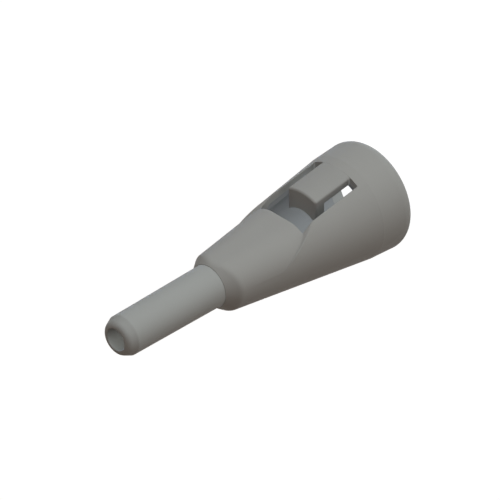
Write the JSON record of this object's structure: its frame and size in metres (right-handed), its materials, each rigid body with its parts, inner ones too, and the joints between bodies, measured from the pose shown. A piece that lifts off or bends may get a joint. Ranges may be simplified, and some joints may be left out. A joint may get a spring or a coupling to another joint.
{
  "type": "probe tip cap",
  "caption": "Tapered insulating cap for a test probe: slim bored nose tube, flattened body, open flared rear and a snap latch in a window.",
  "frame": {"origin": "centre of the open rear rim, on the plane that the cap stands on", "axes": "+Z along the cap's axis from the open rear to the nose tip, -Y through the middle of the latch and the flat, +X across"},
  "size_m": [0.0188, 0.0188, 0.0583],
  "materials": {
    "shell_plastic": "fine matt moulded plastic, warm light grey",
    "nose_plastic": "fine matt moulded plastic, warm light grey",
    "liner_plastic": "smooth matt plastic, cool light grey",
    "latch_plastic": "fine matt moulded plastic, warm light grey"
  },
  "bodies": {
    "cap": {"skirt_shell": "shell_plastic", "nose_tube": "nose_plastic", "inner_liner": "liner_plastic"},
    "latch": {"latch_tongue": "latch_plastic"}
  },
  "joints": [
    {"name": "latch_flex", "type": "hinge", "parent": "cap", "child": "latch", "pos_m": [0, -0.00892, 0.00842], "axis": [1, 0, 0], "range_deg": [-2.5, 9], "stiffness_Nm_per_rad": 0.9}
  ]
}
